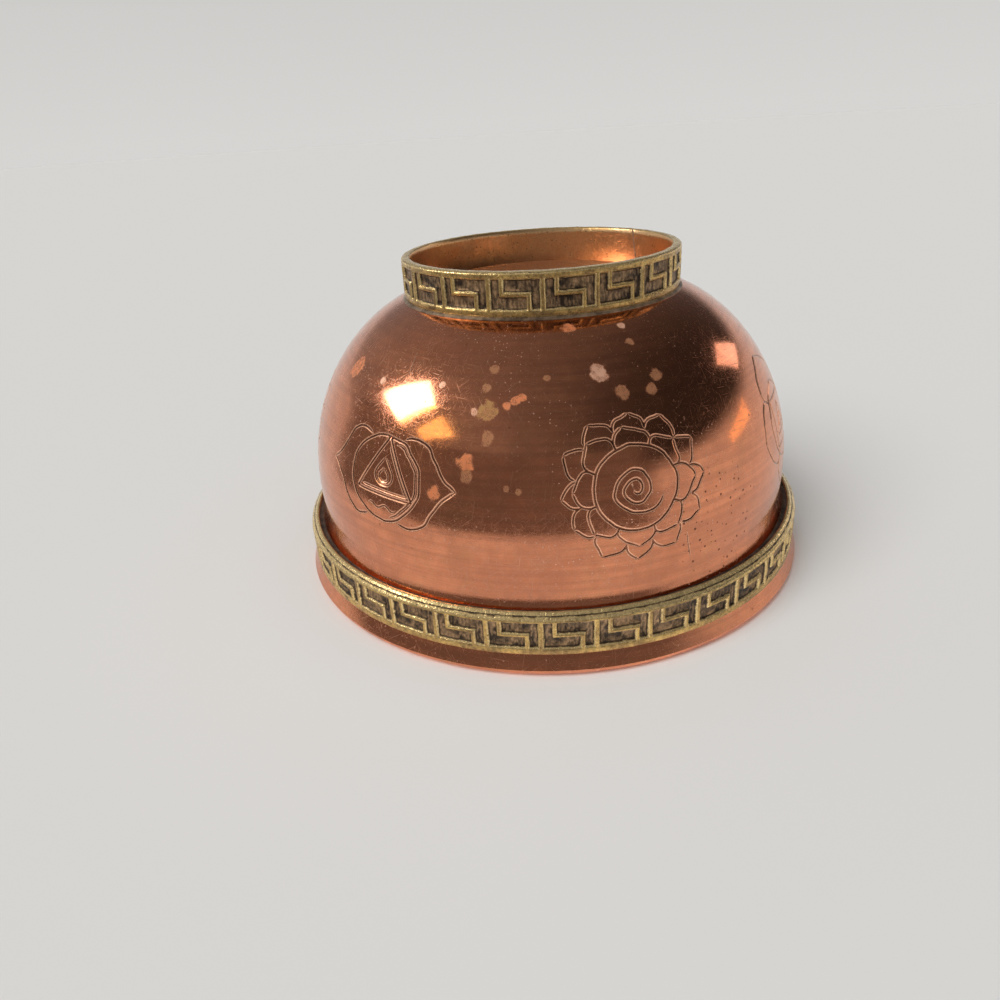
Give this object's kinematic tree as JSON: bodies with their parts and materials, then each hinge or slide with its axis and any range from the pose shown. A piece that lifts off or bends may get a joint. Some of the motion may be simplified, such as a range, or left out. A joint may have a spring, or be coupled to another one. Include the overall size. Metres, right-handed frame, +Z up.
{
  "type": "offering bowl",
  "caption": "Small round copper bowl with engraved lotus motifs, a stamped brass key-fret band under its flared lip and a matching brass foot ring.",
  "frame": {"origin": "centre of the foot ring's base, on the surface that the bowl stands on", "axes": "+Z up through the bowl's mouth along its axis; -Y is the side that the picture shows"},
  "size_m": [0.076, 0.076, 0.0444],
  "materials": {
    "copper": "polished copper, aged, with fine scratches and water spots",
    "brass": "worn stamped brass with dark recesses",
    "solder": "dull tarnished solder"
  },
  "bodies": {
    "root": {"bowl": "copper", "rim_band": "brass", "rim_band_solder": "solder", "rim_band_seam_solder": "solder", "foot_ring": "brass", "foot_ring_solder": "solder", "foot_ring_seam_solder": "solder"}
  },
  "joints": []
}
